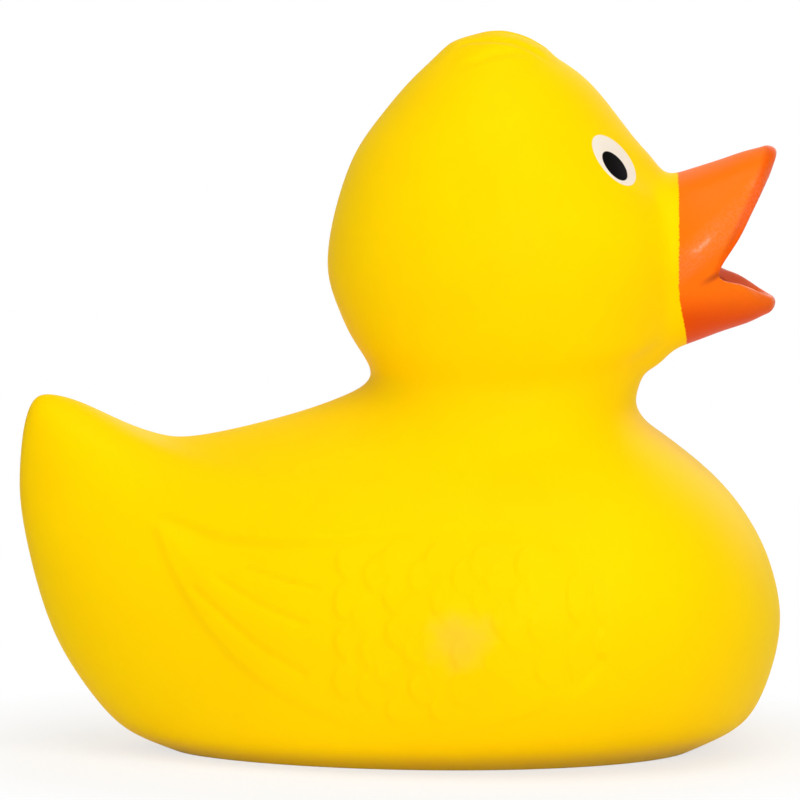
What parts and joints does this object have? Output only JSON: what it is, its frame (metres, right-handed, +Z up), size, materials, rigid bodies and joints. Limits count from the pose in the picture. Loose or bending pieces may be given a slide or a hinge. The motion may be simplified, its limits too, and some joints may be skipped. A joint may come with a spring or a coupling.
{
  "type": "rubber duck",
  "caption": "Hollow soft-vinyl bath duck with an upturned tail, an open beak, a low wing relief on each flank and a press-in squeaker in its flat base.",
  "frame": {"origin": "on the floor, under the middle of the duck's bounding box", "axes": "+X out of the beak, +Y to the duck's left, +Z up"},
  "size_m": [0.1, 0.077, 0.0949],
  "materials": {
    "yellow_vinyl": "satin",
    "white_plastic": "satin"
  },
  "bodies": {
    "root": {"duck_body": "yellow_vinyl", "squeaker": "white_plastic"}
  },
  "joints": []
}
